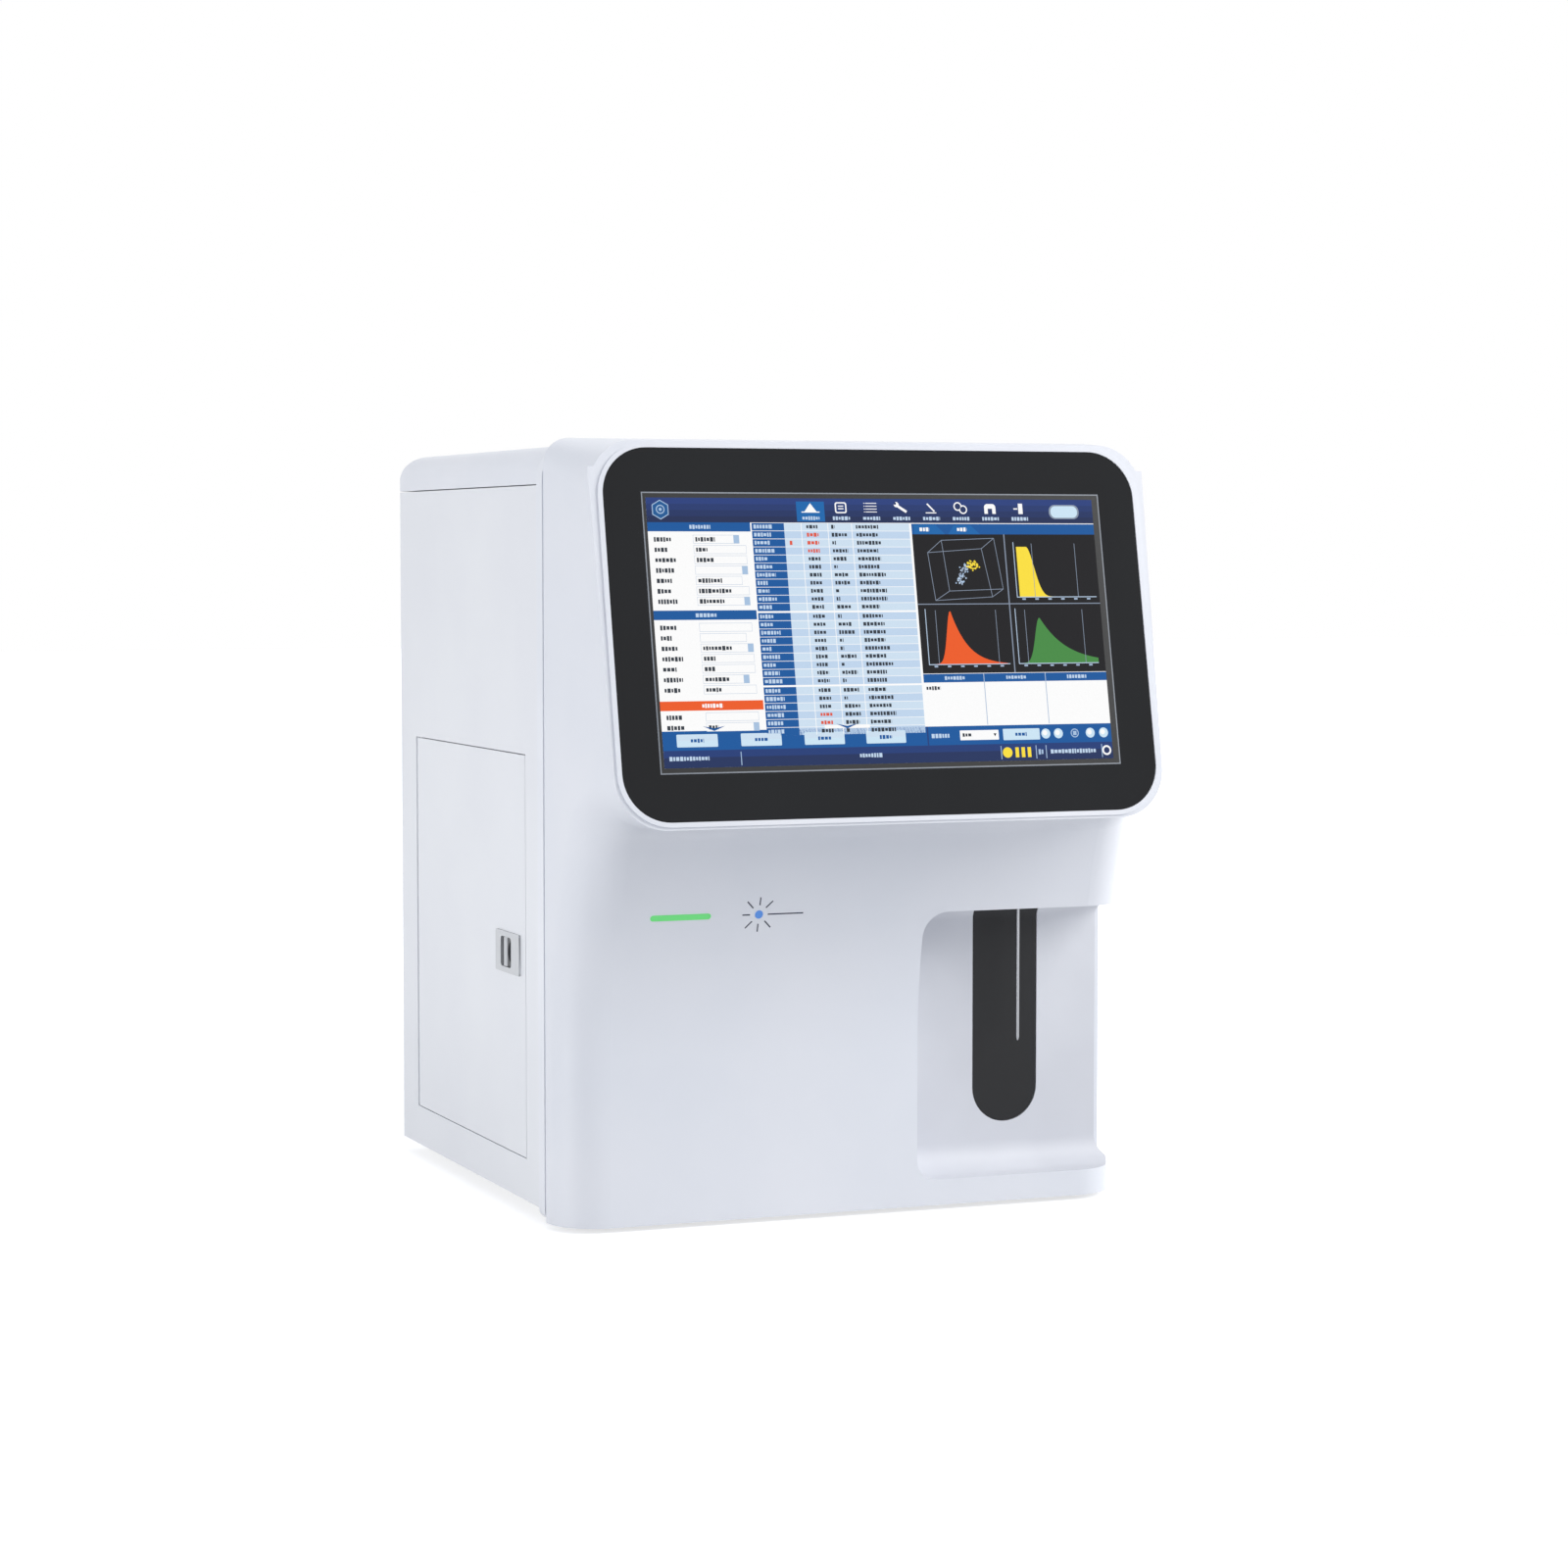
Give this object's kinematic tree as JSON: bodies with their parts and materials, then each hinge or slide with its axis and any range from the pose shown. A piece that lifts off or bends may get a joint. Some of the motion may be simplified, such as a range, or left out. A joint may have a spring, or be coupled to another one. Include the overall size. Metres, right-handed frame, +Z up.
{
  "type": "veterinary hematology analyzer",
  "caption": "Bench-top blood analyzer with a tilted touch screen over an open sample bay with a lifting probe and press key, and a latched side door to its reagents.",
  "frame": {"origin": "on the bench, at the middle of the overall bounding box", "axes": "+Z up, +X to the right of a person facing the screen, +Y from the screen to the rear panel"},
  "size_m": [0.35, 0.4152, 0.4465],
  "materials": {
    "housing_white": "soft satin, fine grain",
    "panel_white": "satin powder coat",
    "frame_white": "soft satin",
    "screen_black": "polished, printed black behind the glass",
    "display": "lit display",
    "light_green": "lit, frosted",
    "light_blue": "lit, frosted",
    "latch_grey": "satin",
    "latch_dark": "satin",
    "key_black": "satin",
    "black_plastic": "satin",
    "rocker_black": "gloss",
    "fan_black": "satin",
    "motor_black": "satin",
    "sheet_steel": "zinc plated sheet",
    "rear_grey": "satin powder coat",
    "bright_steel": "polished",
    "plunger_steel": "ground",
    "alloy": "milled",
    "alloy_black": "black anodised",
    "white_acetal": "machined",
    "foot_rubber": "matte",
    "liner_white": "satin",
    "tray_grey": "satin",
    "bottle_plastic": "translucent blow moulding",
    "cap_blue": "satin",
    "clear_tube": "soft clear tube",
    "board_green": "solder mask",
    "barrel_glass": "clear",
    "clear_acrylic": "clear, polished",
    "tank_white": "satin",
    "port_steel": "pressed shells",
    "fitting_white": "satin"
  },
  "bodies": {
    "housing": {"front_cover": "housing_white", "top_cover": "housing_white", "left_side_panel": "panel_white", "right_side_panel": "panel_white", "seam_frame": "frame_white", "screen_glass": "screen_black", "lcd_panel": "display", "screen_bracket": "sheet_steel", "status_light": "light_green", "ready_lamp": "light_blue", "key_bracket": "sheet_steel", "key_switch": "black_plastic", "probe_bracket": "sheet_steel", "guide_rail": "bright_steel", "lift_motor": "motor_black", "probe_wiper": "white_acetal", "rear_panel": "rear_grey", "panel_screws": "bright_steel", "base_plate": "sheet_steel", "feet": "foot_rubber", "reagent_liner": "liner_white", "bottle_tray": "tray_grey", "reagent_bottles": "bottle_plastic", "bottle_caps": "cap_blue", "supply_tubes": "clear_tube", "mid_wall": "sheet_steel", "main_board": "board_green", "syringe_frame": "alloy", "diluent_barrel": "barrel_glass", "sample_barrel": "barrel_glass", "syringe_motors": "motor_black", "valve_manifold": "clear_acrylic", "solenoid_valves": "black_plastic", "deck_plate": "sheet_steel", "counting_baths": "clear_acrylic", "optics_box": "alloy_black", "vacuum_tank": "tank_white", "air_pump": "black_plastic", "waste_pump": "black_plastic", "power_supply": "alloy", "power_inlet": "black_plastic", "data_ports": "port_steel", "hose_fittings": "fitting_white", "fan_frame": "black_plastic", "fan_guard": "bright_steel"},
    "side_door": {"side_door": "panel_white", "door_hinge_pins": "bright_steel", "latch_plate": "latch_grey"},
    "latch_paddle": {"latch_paddle": "latch_grey"},
    "latch_bolt": {"latch_bolt": "latch_dark"},
    "aspirate_key": {"aspirate_key": "key_black"},
    "probe_carriage": {"probe_carriage": "white_acetal", "sample_probe": "bright_steel"},
    "lead_screw": {"lead_screw": "bright_steel"},
    "diluent_plunger": {"diluent_plunger": "plunger_steel"},
    "sample_plunger": {"sample_plunger": "plunger_steel"},
    "pump_rotor": {"pump_rotor": "white_acetal"},
    "fan_rotor": {"fan_rotor": "fan_black"},
    "power_rocker": {"power_rocker": "rocker_black"}
  },
  "joints": [
    {"name": "door_hinge", "type": "hinge", "parent": "housing", "child": "side_door", "pos_m": [-0.1695, 0.15655, 0.15], "axis": [0, 0, -1], "range_deg": [0, 92]},
    {"name": "latch_pull", "type": "hinge", "parent": "side_door", "child": "latch_paddle", "pos_m": [-0.1695, -0.02255, 0.1495], "axis": [0, 0, -1], "range_deg": [0, 25], "stiffness_Nm_per_rad": 0.02},
    {"name": "bolt_slide", "type": "slide", "parent": "side_door", "child": "latch_bolt", "axis": [0, 1, 0], "range_m": [0, 0.0035]},
    {"name": "key_press", "type": "slide", "parent": "housing", "child": "aspirate_key", "axis": [0, 1, 0], "range_m": [0, 0.002], "stiffness_N_per_m": 400},
    {"name": "probe_lift", "type": "slide", "parent": "housing", "child": "probe_carriage", "axis": [0, 0, 1], "range_m": [0, 0.082]},
    {"name": "screw_turn", "type": "hinge", "parent": "housing", "child": "lead_screw", "pos_m": [0.1255, -0.09995, 0.3], "axis": [0, 0, 1], "range_deg": [0, 1846]},
    {"name": "diluent_stroke", "type": "slide", "parent": "housing", "child": "diluent_plunger", "axis": [0, 0, -1], "range_m": [0, 0.05]},
    {"name": "sample_stroke", "type": "slide", "parent": "housing", "child": "sample_plunger", "axis": [0, 0, -1], "range_m": [0, 0.04]},
    {"name": "pump_turn", "type": "hinge", "parent": "housing", "child": "pump_rotor", "pos_m": [0.1, 0.005, 0.0433], "axis": [0, 1, 0], "continuous": true},
    {"name": "fan_turn", "type": "hinge", "parent": "housing", "child": "fan_rotor", "pos_m": [0.095, 0.18, 0.333], "axis": [0, 1, 0], "continuous": true},
    {"name": "power_switch", "type": "hinge", "parent": "housing", "child": "power_rocker", "pos_m": [0.12, 0.18955, 0.061], "axis": [-1, 0, 0], "range_deg": [0, 12]}
  ],
  "couplings": [
    {"joint": "latch_pull", "follows": "bolt_slide", "rad_per_m": 124.67},
    {"joint": "screw_turn", "follows": "probe_lift", "rad_per_m": 392.7}
  ]
}
